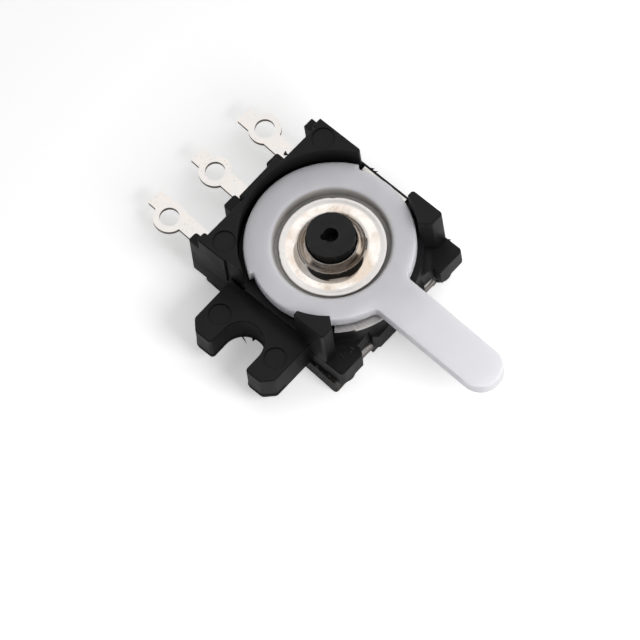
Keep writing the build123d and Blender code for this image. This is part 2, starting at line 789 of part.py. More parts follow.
# ---- wiper: ring with a sprung finger at each end --------------------------------
wiper_line = wiper_top - wiper_thickness / 2
finger_line = strip_top + contact_gap + wiper_thickness / 2

with BuildPart() as wiper:
    with BuildSketch(Plane.XY.offset(wiper_bottom)):
        Circle(wiper_ring_radius)
        Circle(carrier_hub_radius + seat_gap, mode=Mode.SUBTRACT)
        with GridLocations(0, 2 * wiper_peg_y, 1, 2):
            Circle(wiper_peg_radius, mode=Mode.SUBTRACT)
    extrude(amount=wiper_thickness)
    for reach in (outer_finger_x, -common_finger_x):
        way = 1 if reach > 0 else -1
        with BuildSketch(Plane.XZ):
            with BuildLine():
                Polyline(
                    (way * (carrier_hub_radius + finger_root), wiper_line),
                    (way * (carrier_hub_radius + finger_bend), wiper_line),
                    (reach, finger_line),
                    (reach + way * finger_lift, finger_line + finger_lift),
                )
            trace(line_width=wiper_thickness)
        extrude(amount=finger_width / 2, both=True)
save(wiper.part, "wiper")

# ---- return spring ---------------------------------------------------------------
spring_bottom = carrier_top + seat_gap + spring_wire / 2
spring_top = spring_bottom + spring_turns * spring_pitch
spring_leg_height = spring_bottom + seat_gap

with BuildPart() as return_spring:
    with BuildLine(Plane((0, 0, spring_bottom), x_dir=(0, -1, 0))) as coil_line:
        Helix(spring_pitch, spring_turns * spring_pitch, spring_radius)
    with BuildSketch(coil_line.line ^ 0):
        Circle(spring_wire / 2)
    sweep(path=coil_line.line)
    # lower leg runs straight back, upper leg dips under the sleeve first
    with BuildLine() as lower_leg:
        Line((0, -spring_radius, spring_bottom), (spring_leg_x, -spring_radius, spring_bottom))
    with BuildSketch(lower_leg.line ^ 0):
        Circle(spring_wire / 2)
    sweep(path=lower_leg.line)
    with BuildLine() as upper_leg:
        FilletPolyline(
            (0, spring_radius, spring_top),
            (spring_leg_start_x, spring_radius, spring_top),
            (spring_leg_bend_x, spring_radius, spring_leg_height),
            (spring_leg_x, spring_radius, spring_leg_height),
            radius=spring_leg_bend_radius,
        )
    with BuildSketch(upper_leg.line ^ 0):
        Circle(spring_wire / 2)
    sweep(path=upper_leg.line)
save(return_spring.part, "return_spring")
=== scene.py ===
"""Lever reset switch: camera, studio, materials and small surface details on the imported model."""
import math
import random

import bmesh
import bpy
from mathutils import Matrix, Vector


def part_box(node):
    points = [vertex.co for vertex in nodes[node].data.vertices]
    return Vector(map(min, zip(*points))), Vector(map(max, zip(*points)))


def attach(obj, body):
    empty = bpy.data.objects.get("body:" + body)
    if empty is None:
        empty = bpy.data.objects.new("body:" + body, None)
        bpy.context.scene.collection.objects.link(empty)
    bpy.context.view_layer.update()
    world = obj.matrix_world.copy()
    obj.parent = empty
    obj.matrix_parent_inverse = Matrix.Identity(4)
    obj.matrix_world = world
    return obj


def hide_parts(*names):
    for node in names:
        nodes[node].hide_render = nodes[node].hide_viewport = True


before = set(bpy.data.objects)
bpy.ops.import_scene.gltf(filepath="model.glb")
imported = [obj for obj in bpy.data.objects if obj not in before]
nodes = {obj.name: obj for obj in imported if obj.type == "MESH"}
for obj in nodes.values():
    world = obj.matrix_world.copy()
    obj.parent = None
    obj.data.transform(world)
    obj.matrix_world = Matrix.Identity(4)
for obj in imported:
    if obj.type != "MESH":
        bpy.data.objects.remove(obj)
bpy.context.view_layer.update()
MM = 0.001

# ---- places taken from the model -------------------------------------------------
ring_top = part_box("lever")[1].z
floor_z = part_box("contact_board")[0].z

# ---- viewing direction -----------------------------------------------------------
VIEW_TURN = math.radians(50.74)     # of the level line across the view, from +X
VIEW_TILT = math.radians(64.94)     # of the line of sight below the horizontal
VIEW_ROLL = math.radians(-9.64)
VIEW_WIDTH = 47.65 * MM
AIM_ACROSS = -0.894 * MM            # from the pivot at the ring's top to the view's centre
AIM_DOWN = 5.757 * MM
CAMERA_DISTANCE = 0.3               # metres
CAMERA_CLIP = (0.01, 10)            # metres

# ---- lever's nylon ---------------------------------------------------------------
NYLON_DARK = "#cccbd0"
NYLON_PALE = "#d5d4d8"
NYLON_ARM = "#dad9dd"
NYLON_DEPTH = 1.6 * MM              # how far light spreads inside it
BORE_RADIUS = 4.42                  # of the lever's ring, mm
ARM_BLEND = (7.0, 9.5)              # reach from the axis over which the ring turns into arm, mm

# ---- housing ---------------------------------------------------------------------
# marks left by the mould's ejector pins: middles, radius and half the width of the painted shade line
# round each, mm
EJECTOR_MARKS = ((2.23, -9.07, 0.0), (-3.33, -9.07, 0.0), (-5.82, 5.6, 0.0), (-5.82, -5.44, 0.0))
MARK_RADIUS = 0.85
MARK_LINE = 0.05
MARK_SHADE_STRENGTH = 0.6
SEAM_RISE = 0.35 * MM               # of the mould's parting line above the fork's underside
SEAM_RADIUS = 0.05 * MM
FORK_ROOT_Y = -7.1 * MM
# torn flash and burrs: root, tip and width, mm
FLASH = (
    ((-1.85, -8.55, 1.78), (-1.07, -8.82, 1.7), 0.14),
    ((-1.0, -8.05, 1.75), (-0.95, -8.39, 1.7), 0.4),
    ((-7.05, 2.8, 7.7), (-7.32, 3.0, 7.72), 0.35),
    ((-2.5, 6.75, 5.1), (-2.1, 7.0, 5.15), 0.22),
    ((-2.1, 6.75, 5.1), (-1.75, 6.98, 5.2), 0.2),
    ((5.2, 6.6, 3.35), (5.5, 6.86, 3.38), 0.25),
    ((-7.2, -6.3, 6.2), (-7.5, -6.5, 6.25), 0.25),
)
FLASH_STEPS = 6                     # rings along one piece of flash
FLASH_SECTION = ((1, 0.3), (0.2, 1), (-1, 0.2), (-0.3, -1))     # its torn outline, across and up
FLASH_SEED = 7
# patch of the low platform that dust has settled on: x and y ranges and height, mm
DUST_PLACE = (4.9, 6.0, -5.5, -4.4, 3.41)
DUST_DENSITY = 9.0e6                # grains per square metre
DUST_GRAIN = 0.03 * MM              # radius before each grain's own stretch
DUST_STRETCH = ((0.4, 0.4, 0.3), (1.6, 1.1, 0.8))
DUST_SEED = 4

# ---- cup -------------------------------------------------------------------------
POST_RADIUS = 1.88                  # mm
RIM_HEIGHT = 5.9                    # of the cup's flat rim above the board's underside, mm
CUP_SHEET = 0.14                    # mm; the underside has to stay above the lever's shelf
CUP_TOP_DROP = 0.08                 # hub's crown below the top of the solid cup, mm
HUB_GAP = 0.03                      # between the post and the cup's bore, mm
HUB_TILT = math.radians(71)         # of the hub's wall
FOOT_RADIUS = 0.92                  # of the bend from hub to dish, mm
DISH_RADIUS = 7.5                   # of the hollow bend of the dish, mm
DISH_TILT = math.radians(4.5)       # of the dish where it meets the rim
CREST_RADIUS = 0.06                 # of the crown from dish to rim, mm
DISH_STEP = 0.02                    # rise from the dish's edge to the rim, mm
CUP_STEPS = 360                     # round the cup
# distances from the axis, mm, between which one finish gives way to the next
HUB_BLEND = (2.4, 2.65)
DISH_BLEND = (2.9, 3.1)
RIM_BLEND = (3.5, 3.6)
# dents in the rim: place round the cup, depth in mm and width in radians
CUP_NICKS = ((math.radians(132), 0.07, 0.06), (math.radians(228), 0.05, 0.05),
             (math.radians(236), 0.04, 0.035))

# ---- light -----------------------------------------------------------------------
NEAR_SIDE = (0.774, -0.633, 0.0)    # level, towards the viewer
LEFT_SIDE = (-0.633, -0.774, 0.0)
SOFTBOX = 1.07                      # brightness of the large overhead softbox
SOFTBOX_LOW = 0.6                   # of its cloth low on the far side
CEILING = 0.45                      # of the ceiling beside it
DARK_ROOM = 0.015                   # of the room low on the near side
PALE_SPOT = 0.35                    # brightness of the one pale thing in the dark room
PALE_AIM = Vector(NEAR_SIDE) * 0.34 + Vector((0, 0, 0.94))
SLOPE_SHARES = ((NEAR_SIDE, 1.0), (LEFT_SIDE, 0.83))    # slant of the softbox's edge
SOFTBOX_EDGE = (-0.25, -0.17)       # slopes from the vertical between which the softbox ends
ROOM_EDGE = (0.12, 0.2)             # reach to the near side between which the room gets dark
LOWEST_SKY = 0.02                   # keeps the slopes finite at the horizon
TABLE_LIFT = 0.378                  # how much brighter the table shows than the light makes it
TABLE_HALF = 1.5                    # metres
LAMP_PLACE = (0.046, -0.004, 0.05)  # metres from the pivot's foot
LAMP_SIZE = 0.03                    # metres
LAMP_POWER = 0.0255                 # watts


def linear(hex_colour):
    """sRGB hex value to linear red, green, blue, alpha."""
    channels = [int(hex_colour[i:i + 2], 16) / 255 for i in (1, 3, 5)]
    return tuple(c / 12.92 if c <= 0.04045 else ((c + 0.055) / 1.055) ** 2.4
                 for c in channels) + (1.0,)


def add(tree, kind, settings=None, inputs=None):
    """Add one node with its settings; an input is a value or another node's output."""
    node = tree.nodes.new(kind)
    for name, value in (settings or {}).items():
        setattr(node, name, value)
    for name, value in (inputs or {}).items():
        if isinstance(value, bpy.types.NodeSocket):
            tree.links.new(value, node.inputs[name])
        else:
            node.inputs[name].default_value = value
    return node


def new_material(name):
    """Empty node material with its output, and Object coordinates in millimetres."""
    material = bpy.data.materials.new(name)
    material.use_nodes = True
    tree = material.node_tree
    tree.nodes.clear()
    coordinates = add(tree, "ShaderNodeTexCoord")
    to_mm = add(tree, "ShaderNodeVectorMath", {"operation": "SCALE"},
                {0: coordinates.outputs["Object"], "Scale": 1 / MM})
    return material, tree, to_mm.outputs["Vector"]


def surface(tree, shader):
    """Connect a shader to the material's output."""
    add(tree, "ShaderNodeOutputMaterial", None, {"Surface": shader.outputs["BSDF"]})


def give(material, *names):
    """Put a material on CAD nodes."""
    for name in names:
        mesh = nodes[name].data
        mesh.materials.clear()
        mesh.materials.append(material)


# ---- materials -------------------------------------------------------------------
def moulded_black_nylon():
    """Injection-moulded black nylon: satin, faintly mottled by flow, with a few pale scuffs."""
    material, tree, where = new_material("moulded_black_nylon")
    mottle = add(tree, "ShaderNodeTexNoise", None, {"Vector": where, "Scale": 1 / 2.2, "Detail": 3.0})
    grain = add(tree, "ShaderNodeTexNoise", None, {"Vector": where, "Scale": 1 / 0.16, "Detail": 3.0})
    cloud = add(tree, "ShaderNodeMapRange", None,
                {"Value": mottle.outputs["Fac"], "From Min": 0.3, "From Max": 0.7})
    base = add(tree, "ShaderNodeMix", {"data_type": "RGBA"},
               {0: cloud.outputs["Result"], 6: linear("#141415"), 7: linear("#1e1e1f")})
    # pale scuffs, broken up, a few tenths of a millimetre long
    rub = add(tree, "ShaderNodeTexNoise", None, {
        "Vector": where, "Scale": 1 / 0.45, "Detail": 5.0, "Roughness": 0.7, "Distortion": 1.5})
    scuff = add(tree, "ShaderNodeMapRange", None, {
        "Value": rub.outputs["Fac"], "From Min": 0.66, "From Max": 0.74, "To Max": 0.25})
    base = add(tree, "ShaderNodeMix", {"data_type": "RGBA"},
               {0: scuff.outputs["Result"], 6: base.outputs[2], 7: linear("#5f5f60")})
    # painted shade in the edges of the ejector pins' marks: a dark line round each
    for mark in EJECTOR_MARKS:
        middle = add(tree, "ShaderNodeVectorMath", {"operation": "SUBTRACT"}, {0: where, 1: mark})
        level = add(tree, "ShaderNodeVectorMath", {"operation": "MULTIPLY"},
                    {0: middle.outputs["Vector"], 1: (1, 1, 0)})
        reach = add(tree, "ShaderNodeVectorMath", {"operation": "LENGTH"}, {0: level.outputs["Vector"]})
        edge = add(tree, "ShaderNodeMath", {"operation": "COMPARE"},
                   {0: reach.outputs["Value"], 1: MARK_RADIUS, 2: MARK_LINE})
        shade_line = add(tree, "ShaderNodeMath", {"operation": "MULTIPLY"},
                    {0: edge.outputs[0], 1: MARK_SHADE_STRENGTH})
        base = add(tree, "ShaderNodeMix", {"data_type": "RGBA"},
                   {0: shade_line.outputs[0], 6: base.outputs[2], 7: linear("#020202")})
    rough = add(tree, "ShaderNodeMapRange", None, {
        "Value": mottle.outputs["Fac"], "From Min": 0.3, "From Max": 0.7, "To Min": 0.4, "To Max": 0.56})
    skin = add(tree, "ShaderNodeBump", None,
               {"Height": grain.outputs["Fac"], "Distance": 0.01 * MM, "Strength": 0.6})
    shader = add(tree, "ShaderNodeBsdfPrincipled", None, {
        "Base Color": base.outputs[2], "Roughness": rough.outputs["Result"], "IOR": 1.5,
        "Specular IOR Level": 0.2, "Normal": skin.outputs["Normal"]})
    surface(tree, shader)
    return material


def turned_black_nylon():
    """Post of the same nylon, a little darker, with an even roughness and finer grain."""
    material, tree, where = new_material("turned_black_nylon")
    mottle = add(tree, "ShaderNodeTexNoise", None, {"Vector": where, "Scale": 1 / 0.9, "Detail": 4.0})
    fine = add(tree, "ShaderNodeTexNoise", None, {"Vector": where, "Scale": 1 / 0.12, "Detail": 3.0})
    cloud = add(tree, "ShaderNodeMapRange", None,
                {"Value": mottle.outputs["Fac"], "From Min": 0.35, "From Max": 0.65})
    base = add(tree, "ShaderNodeMix", {"data_type": "RGBA"},
               {0: cloud.outputs["Result"], 6: linear("#101011"), 7: linear("#1a1a1b")})
    skin = add(tree, "ShaderNodeBump", None,
               {"Height": fine.outputs["Fac"], "Distance": 0.008 * MM, "Strength": 0.5})
    shader = add(tree, "ShaderNodeBsdfPrincipled", None, {
        "Base Color": base.outputs[2], "Roughness": 0.46, "IOR": 1.5, "Specular IOR Level": 0.3,
        "Normal": skin.outputs["Normal"]})
    surface(tree, shader)
    return material


def natural_nylon():
    """Unpigmented moulded nylon: milky, lets light through, satin skin, painted shade on its bore's
    wall.
    """
    material, tree, where = new_material("natural_nylon")
    cloud = add(tree, "ShaderNodeTexNoise", None, {"Vector": where, "Scale": 1 / 3.5, "Detail": 2.0})
    drift = add(tree, "ShaderNodeMapRange", None,
                {"Value": cloud.outputs["Fac"], "From Min": 0.3, "From Max": 0.7})
    base = add(tree, "ShaderNodeMix", {"data_type": "RGBA"},
               {0: drift.outputs["Result"], 6: linear(NYLON_DARK), 7: linear(NYLON_PALE)})
    # painted shade on the bore's wall, up to its rounded edge
    flat = add(tree, "ShaderNodeVectorMath", {"operation": "MULTIPLY"}, {0: where, 1: (1, 1, 0)})
    reach = add(tree, "ShaderNodeVectorMath", {"operation": "LENGTH"}, {0: flat.outputs["Vector"]})
    bore_wall_shade = add(tree, "ShaderNodeMapRange", {"interpolation_type": "SMOOTHSTEP"}, {
        "Value": reach.outputs["Value"], "From Min": BORE_RADIUS + 0.02, "From Max": BORE_RADIUS + 0.22,
        "To Min": 0.75, "To Max": 0.0})
    base = add(tree, "ShaderNodeMix", {"data_type": "RGBA"},
               {0: bore_wall_shade.outputs["Result"], 6: base.outputs[2], 7: linear("#8d8981")})
    # the arm is painted paler than the ring, as if light came through it from below
    on_arm = add(tree, "ShaderNodeMapRange", None,
                 {"Value": reach.outputs["Value"], "From Min": ARM_BLEND[0],
                  "From Max": ARM_BLEND[1]})
    base = add(tree, "ShaderNodeMix", {"data_type": "RGBA"},
               {0: on_arm.outputs["Result"], 6: base.outputs[2], 7: linear(NYLON_ARM)})
    wave = add(tree, "ShaderNodeTexNoise", None, {"Vector": where, "Scale": 1 / 1.6, "Detail": 2.0})
    fine = add(tree, "ShaderNodeTexNoise", None, {"Vector": where, "Scale": 1 / 0.1, "Detail": 2.0})
    skin = add(tree, "ShaderNodeBump", None,
               {"Height": wave.outputs["Fac"], "Distance": 0.02 * MM, "Strength": 0.4})
    skin = add(tree, "ShaderNodeBump", None, {
        "Height": fine.outputs["Fac"], "Distance": 0.003 * MM, "Strength": 0.4,
        "Normal": skin.outputs["Normal"]})
    shader = add(tree, "ShaderNodeBsdfPrincipled", {"subsurface_method": "RANDOM_WALK"}, {
        "Base Color": base.outputs[2], "Roughness": 0.42, "IOR": 1.53, "Normal": skin.outputs["Normal"],
        "Subsurface Weight": 1.0, "Subsurface Radius": (1.0, 1.0, 1.0), "Subsurface Scale": NYLON_DEPTH})
    surface(tree, shader)
    return material


def silvered_brass():
    """Stamped brass with a soft silver plate: near white, faint pits, dark sheared edges."""
    material, tree, where = new_material("silvered_brass")
    cloud = add(tree, "ShaderNodeTexNoise", None,
                {"Vector": where, "Scale": 1 / 0.8, "Detail": 4.0, "Roughness": 0.6})
    speck = add(tree, "ShaderNodeTexNoise", None, {"Vector": where, "Scale": 1 / 0.22, "Detail": 2.0})
    drift = add(tree, "ShaderNodeMapRange", None,
                {"Value": cloud.outputs["Fac"], "From Min": 0.35, "From Max": 0.65})
    base = add(tree, "ShaderNodeMix", {"data_type": "RGBA"},
               {0: drift.outputs["Result"], 6: linear("#fbf4ee"), 7: linear("#fffcf9")})
    pits = add(tree, "ShaderNodeMapRange", None, {
        "Value": speck.outputs["Fac"], "From Min": 0.62, "From Max": 0.72, "To Max": 0.4})
    base = add(tree, "ShaderNodeMix", {"data_type": "RGBA"},
               {0: pits.outputs["Result"], 6: base.outputs[2], 7: linear("#b5a99d")})
    # the upright faces, where the sheet was sheared, are made dark brown
    facing = add(tree, "ShaderNodeSeparateXYZ", None,
                 {0: add(tree, "ShaderNodeNewGeometry").outputs["True Normal"]})
    upright = add(tree, "ShaderNodeMath", {"operation": "ABSOLUTE"}, {0: facing.outputs["Z"]})
    sheared = add(tree, "ShaderNodeMapRange", None, {
        "Value": upright.outputs[0], "From Min": 0.3, "From Max": 0.8, "To Min": 0.85, "To Max": 0.0})
    base = add(tree, "ShaderNodeMix", {"data_type": "RGBA"},
               {0: sheared.outputs["Result"], 6: base.outputs[2], 7: linear("#5d5148")})
    rough = add(tree, "ShaderNodeMapRange", None, {
        "Value": cloud.outputs["Fac"], "From Min": 0.3, "From Max": 0.7, "To Min": 0.3, "To Max": 0.42})
    skin = add(tree, "ShaderNodeBump", None,
               {"Height": cloud.outputs["Fac"], "Distance": 0.006 * MM, "Strength": 0.5})
    shader = add(tree, "ShaderNodeBsdfPrincipled", None, {
        "Base Color": base.outputs[2], "Metallic": 1.0, "Roughness": rough.outputs["Result"],
        "Normal": skin.outputs["Normal"]})
    surface(tree, shader)
    return material


def drawn_nickel():
    """Drawn steel cup with bright nickel: warm mirror, softened by fine rubbing and small stains."""
    material, tree, where = new_material("drawn_nickel")
    stain = add(tree, "ShaderNodeTexNoise", None,
                {"Vector": where, "Scale": 1 / 0.7, "Detail": 5.0, "Roughness": 0.65})
    fine = add(tree, "ShaderNodeTexNoise", None, {"Vector": where, "Scale": 1 / 0.3, "Detail": 3.0})
    marked = add(tree, "ShaderNodeMapRange", None,
                 {"Value": stain.outputs["Fac"], "From Min": 0.5, "From Max": 0.72})
    base = add(tree, "ShaderNodeMix", {"data_type": "RGBA"},
               {0: marked.outputs["Result"], 6: linear("#fdf7f1"), 7: linear("#ebe2d9")})
    # broad warm clouds of painted shade, standing in for the dish's shaded reflections
    cloud = add(tree, "ShaderNodeTexNoise", None, {"Vector": where, "Scale": 1 / 2.4, "Detail": 1.5})
    painted_shade_clouds = add(tree, "ShaderNodeMapRange", None,
                  {"Value": cloud.outputs["Fac"], "From Min": 0.42, "From Max": 0.58})
    base = add(tree, "ShaderNodeMix", {"data_type": "RGBA", "blend_type": "MULTIPLY"},
               {0: painted_shade_clouds.outputs["Result"], 6: base.outputs[2], 7: linear("#e9dfd5")})
    # the flat rim is rubbed duller than the dish
    flat = add(tree, "ShaderNodeVectorMath", {"operation": "MULTIPLY"}, {0: where, 1: (1, 1, 0)})
    reach = add(tree, "ShaderNodeVectorMath", {"operation": "LENGTH"}, {0: flat.outputs["Vector"]})
    on_rim = add(tree, "ShaderNodeMapRange", None,
                 {"Value": reach.outputs["Value"], "From Min": RIM_BLEND[0],
                  "From Max": RIM_BLEND[1]})
    scratch = add(tree, "ShaderNodeTexNoise", None, {
        "Vector": where, "Scale": 1 / 0.35, "Detail": 6.0, "Roughness": 0.75, "Distortion": 1.0})
    dull = add(tree, "ShaderNodeMix", {"data_type": "RGBA"},
               {0: scratch.outputs["Fac"], 6: linear("#dcd6d1"), 7: linear("#fbf8f6")})
    base = add(tree, "ShaderNodeMix", {"data_type": "RGBA"},
               {0: on_rim.outputs["Result"], 6: base.outputs[2], 7: dull.outputs[2]})
    polish = add(tree, "ShaderNodeMapRange", None, {
        "Value": stain.outputs["Fac"], "From Min": 0.35, "From Max": 0.7,
        "To Min": 0.05, "To Max": 0.11})
    on_dish = add(tree, "ShaderNodeMapRange", None, {
        "Value": reach.outputs["Value"], "From Min": DISH_BLEND[0], "From Max": DISH_BLEND[1],
        "To Max": 0.06})
    on_hub = add(tree, "ShaderNodeMapRange", None, {
        "Value": reach.outputs["Value"], "From Min": HUB_BLEND[0], "From Max": HUB_BLEND[1],
        "To Min": 0.07, "To Max": 0.0})
    worn = add(tree, "ShaderNodeMath", {"operation": "ADD"},
               {0: polish.outputs["Result"], 1: on_dish.outputs["Result"]})
    worn = add(tree, "ShaderNodeMath", {"operation": "ADD"},
               {0: worn.outputs[0], 1: on_hub.outputs["Result"]})
    rough = add(tree, "ShaderNodeMapRange", None, {
        "Value": on_rim.outputs["Result"], "To Min": worn.outputs[0], "To Max": 0.3})
    skin = add(tree, "ShaderNodeBump", None,
               {"Height": fine.outputs["Fac"], "Distance": 0.003 * MM, "Strength": 0.6})
    shader = add(tree, "ShaderNodeBsdfPrincipled", None, {
        "Base Color": base.outputs[2], "Metallic": 1.0, "Roughness": rough.outputs["Result"],
        "Normal": skin.outputs["Normal"]})
    surface(tree, shader)
    return material


def plated_steel():
    """Stamped plated steel: cool grey, drawn lines from the sheet's rolling."""
    material, tree, where = new_material("plated_steel")
    stretched = add(tree, "ShaderNodeMapping", None, {"Vector": where, "Scale": (0.25, 3.0, 1.0)})
    rolled = add(tree, "ShaderNodeTexNoise", None,
                 {"Vector": stretched.outputs["Vector"], "Scale": 1 / 0.25, "Detail": 4.0})
    lines = add(tree, "ShaderNodeMapRange", None,
                {"Value": rolled.outputs["Fac"], "From Min": 0.35, "From Max": 0.65})
    base = add(tree, "ShaderNodeMix", {"data_type": "RGBA"},
               {0: lines.outputs["Result"], 6: linear("#c4c2be"), 7: linear("#e9e6e1")})
    skin = add(tree, "ShaderNodeBump", None,
               {"Height": rolled.outputs["Fac"], "Distance": 0.002 * MM, "Strength": 0.4})
    shader = add(tree, "ShaderNodeBsdfPrincipled", None, {
        "Base Color": base.outputs[2], "Metallic": 1.0, "Roughness": 0.2,
        "Normal": skin.outputs["Normal"]})
    surface(tree, shader)
    return material


def phenolic_laminate():
    """Punched phenolic board: dark, with a rough broken edge where pale filler shows."""
    material, tree, where = new_material("phenolic_laminate")
    layers = add(tree, "ShaderNodeMapping", None, {"Vector": where, "Scale": (1.0, 1.0, 5.0)})
    torn = add(tree, "ShaderNodeTexNoise", None, {
        "Vector": layers.outputs["Vector"], "Scale": 1 / 0.5, "Detail": 5.0, "Roughness": 0.7})
    filler = add(tree, "ShaderNodeMapRange", None,
                 {"Value": torn.outputs["Fac"], "From Min": 0.5, "From Max": 0.75})
    base = add(tree, "ShaderNodeMix", {"data_type": "RGBA"},
               {0: filler.outputs["Result"], 6: linear("#1c1a19"), 7: linear("#7d7973")})
    skin = add(tree, "ShaderNodeBump", None,
               {"Height": torn.outputs["Fac"], "Distance": 0.06 * MM, "Strength": 0.9})
    shader = add(tree, "ShaderNodeBsdfPrincipled", None, {
        "Base Color": base.outputs[2], "Roughness": 0.62, "IOR": 1.5, "Normal": skin.outputs["Normal"]})
    surface(tree, shader)
    return material


def moulded_phenolic():
    """Brown moulded carrier, glossy where it was pressed."""
    material, tree, where = new_material("moulded_phenolic")
    fleck = add(tree, "ShaderNodeTexNoise", None, {"Vector": where, "Scale": 1 / 0.3, "Detail": 4.0})
    spots = add(tree, "ShaderNodeMapRange", None,
                {"Value": fleck.outputs["Fac"], "From Min": 0.4, "From Max": 0.7})
    base = add(tree, "ShaderNodeMix", {"data_type": "RGBA"},
               {0: spots.outputs["Result"], 6: linear("#4a2f1f"), 7: linear("#6b4630")})
    skin = add(tree, "ShaderNodeBump", None,
               {"Height": fleck.outputs["Fac"], "Distance": 0.01 * MM, "Strength": 0.4})
    shader = add(tree, "ShaderNodeBsdfPrincipled", None, {
        "Base Color": base.outputs[2], "Roughness": 0.38, "IOR": 1.6, "Normal": skin.outputs["Normal"]})
    surface(tree, shader)
    return material


def phosphor_bronze():
    """Rolled spring bronze, fine lengthwise lines."""
    material, tree, where = new_material("phosphor_bronze")
    lines = add(tree, "ShaderNodeTexNoise", None, {"Vector": where, "Scale": 1 / 0.08, "Detail": 3.0})
    base = add(tree, "ShaderNodeMix", {"data_type": "RGBA"},
               {0: lines.outputs["Fac"], 6: linear("#c48a5a"), 7: linear("#dba878")})
    skin = add(tree, "ShaderNodeBump", None,
               {"Height": lines.outputs["Fac"], "Distance": 0.002 * MM, "Strength": 0.5})
    shader = add(tree, "ShaderNodeBsdfPrincipled", None, {
        "Base Color": base.outputs[2], "Metallic": 1.0, "Roughness": 0.3,
        "Normal": skin.outputs["Normal"]})
    surface(tree, shader)
    return material


def spring_wire():
    """Drawn music wire, oiled dark steel."""
    material, tree, where = new_material("spring_wire")
    drawn = add(tree, "ShaderNodeTexNoise", None, {"Vector": where, "Scale": 1 / 0.06, "Detail": 3.0})
    base = add(tree, "ShaderNodeMix", {"data_type": "RGBA"},
               {0: drawn.outputs["Fac"], 6: linear("#77777a"), 7: linear("#a5a5a8")})
    skin = add(tree, "ShaderNodeBump", None,
               {"Height": drawn.outputs["Fac"], "Distance": 0.002 * MM, "Strength": 0.5})
    shader = add(tree, "ShaderNodeBsdfPrincipled", None, {
        "Base Color": base.outputs[2], "Metallic": 1.0, "Roughness": 0.32,
        "Normal": skin.outputs["Normal"]})
    surface(tree, shader)
    return material


def settled_dust():
    """Settled dust: grey, quite matt."""
    material, tree, where = new_material("settled_dust")
    tone = add(tree, "ShaderNodeTexNoise", None, {"Vector": where, "Scale": 1 / 0.4, "Detail": 2.0})
    base = add(tree, "ShaderNodeMix", {"data_type": "RGBA"},
               {0: tone.outputs["Fac"], 6: linear("#55534f"), 7: linear("#8a8783")})
    shader = add(tree, "ShaderNodeBsdfPrincipled", None,
                 {"Base Color": base.outputs[2], "Roughness": 0.9, "IOR": 1.45})
    surface(tree, shader)
    return material


def backdrop_white():
    """Matt white table. The camera sees it brighter than it is, and it still takes a shadow."""
    material = bpy.data.materials.new("backdrop_white")
    material.use_nodes = True
    tree = material.node_tree
    tree.nodes.clear()
    paper = add(tree, "ShaderNodeBsdfDiffuse", None, {"Color": (0.95, 0.95, 0.95, 1)})
    ray = add(tree, "ShaderNodeLightPath")
    seen = add(tree, "ShaderNodeMath", {"operation": "MAXIMUM"},
               {0: ray.outputs["Is Camera Ray"], 1: ray.outputs["Is Transmission Ray"]})
    lift = add(tree, "ShaderNodeMath", {"operation": "MULTIPLY"}, {0: seen.outputs[0], 1: TABLE_LIFT})
    glow = add(tree, "ShaderNodeEmission", None, {"Color": (1, 1, 1, 1), "Strength": lift.outputs[0]})
    both = add(tree, "ShaderNodeAddShader", None, {0: paper.outputs[0], 1: glow.outputs[0]})
    add(tree, "ShaderNodeOutputMaterial", None, {"Surface": both.outputs[0]})
    return material


# ---- camera, table and light -----------------------------------------------------
def view_axes():
    """Right, up and backward directions of the view."""
    level = Vector((math.cos(VIEW_TURN), math.sin(VIEW_TURN), 0))
    steep = Vector((math.sin(VIEW_TILT) * math.sin(VIEW_TURN),
                    -math.sin(VIEW_TILT) * math.cos(VIEW_TURN), -math.cos(VIEW_TILT)))
    right = level * math.cos(VIEW_ROLL) - steep * math.sin(VIEW_ROLL)
    down = level * math.sin(VIEW_ROLL) + steep * math.cos(VIEW_ROLL)
    return right, -down, right.cross(-down)


def make_camera():
    """Parallel view from the near side, a little rolled."""
    right, up, back = view_axes()
    aim = Vector((0, 0, ring_top)) + right * AIM_ACROSS - up * AIM_DOWN
    data = bpy.data.cameras.new("view_camera")
    data.type = "ORTHO"
    data.ortho_scale = VIEW_WIDTH
    data.clip_start, data.clip_end = CAMERA_CLIP
    camera = bpy.data.objects.new("view_camera", data)
    turn = Matrix((right, up, back)).transposed().to_4x4()
    camera.matrix_world = Matrix.Translation(aim + back * CAMERA_DISTANCE) @ turn
    bpy.context.scene.collection.objects.link(camera)
    bpy.context.scene.camera = camera


def make_lamp():
    """Soft square lamp beyond the arm's end, aimed at the pivot; it lights but isn't mirrored."""
    data = bpy.data.lights.new("side_lamp", "AREA")
    data.size = LAMP_SIZE
    data.energy = LAMP_POWER
    lamp = bpy.data.objects.new("side_lamp", data)
    lamp.location = LAMP_PLACE
    lamp.rotation_euler = (-Vector(LAMP_PLACE)).to_track_quat("-Z", "Y").to_euler()
    lamp.visible_camera = False
    lamp.visible_glossy = False
    bpy.context.scene.collection.objects.link(lamp)


def make_studio():
    """White table, side lamp and the light tent round them."""
    floor_mesh = bpy.data.meshes.new("table_top")
    corners = [(x * TABLE_HALF, y * TABLE_HALF, floor_z)
               for x, y in ((-1, -1), (1, -1), (1, 1), (-1, 1))]
    floor_mesh.from_pydata(corners, [], [(0, 1, 2, 3)])
    floor_mesh.materials.append(backdrop_white())
    floor = bpy.data.objects.new("table_top", floor_mesh)
    bpy.context.scene.collection.objects.link(floor)
    make_lamp()
    make_tent()
    bpy.context.scene.view_settings.view_transform = "Standard"


